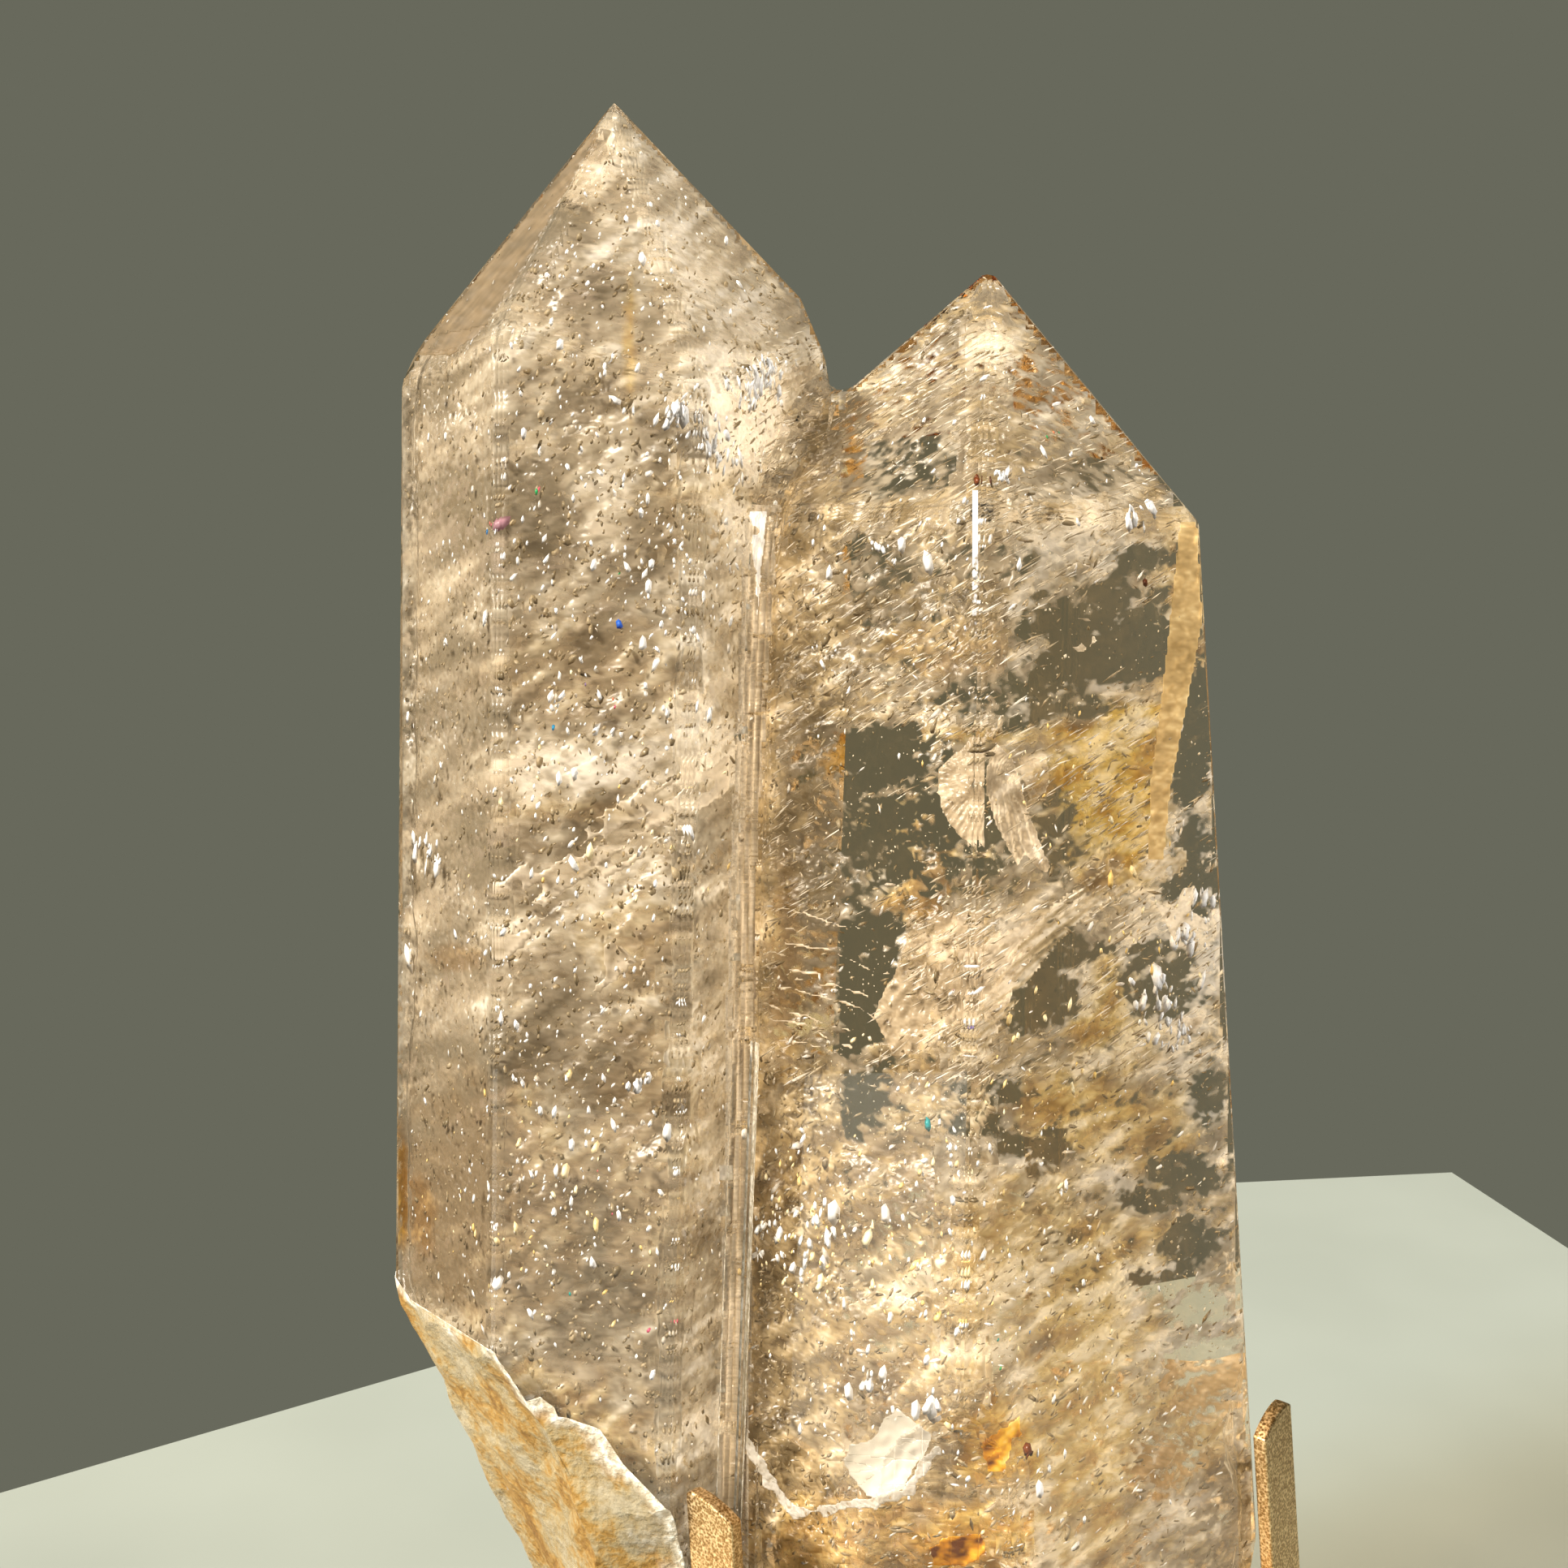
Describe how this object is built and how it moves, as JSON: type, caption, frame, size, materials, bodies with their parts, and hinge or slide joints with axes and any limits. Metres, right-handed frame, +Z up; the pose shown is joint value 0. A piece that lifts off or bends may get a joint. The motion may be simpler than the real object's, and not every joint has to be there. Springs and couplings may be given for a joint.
{
  "type": "polished quartz twin point on a stand",
  "caption": "Clear golden quartz grown as a pair of joined upright points, polished to facets, held in a gold flat-bar metal stand.",
  "frame": {"origin": "middle of the underside of the stand's base plate", "axes": "+Z up along the crystal, +X from the taller point towards the shorter one, front towards -Y"},
  "size_m": [0.15, 0.09, 0.2601],
  "materials": {
    "citrine": "polished clear golden quartz with milky veils and iron stains inside",
    "gold_coating": "fine-grained satin gold coating"
  },
  "bodies": {
    "root": {"crystal": "citrine", "stand_base": "gold_coating", "prong_front": "gold_coating", "prong_right": "gold_coating", "prong_back": "gold_coating", "prong_left": "gold_coating"}
  },
  "joints": []
}
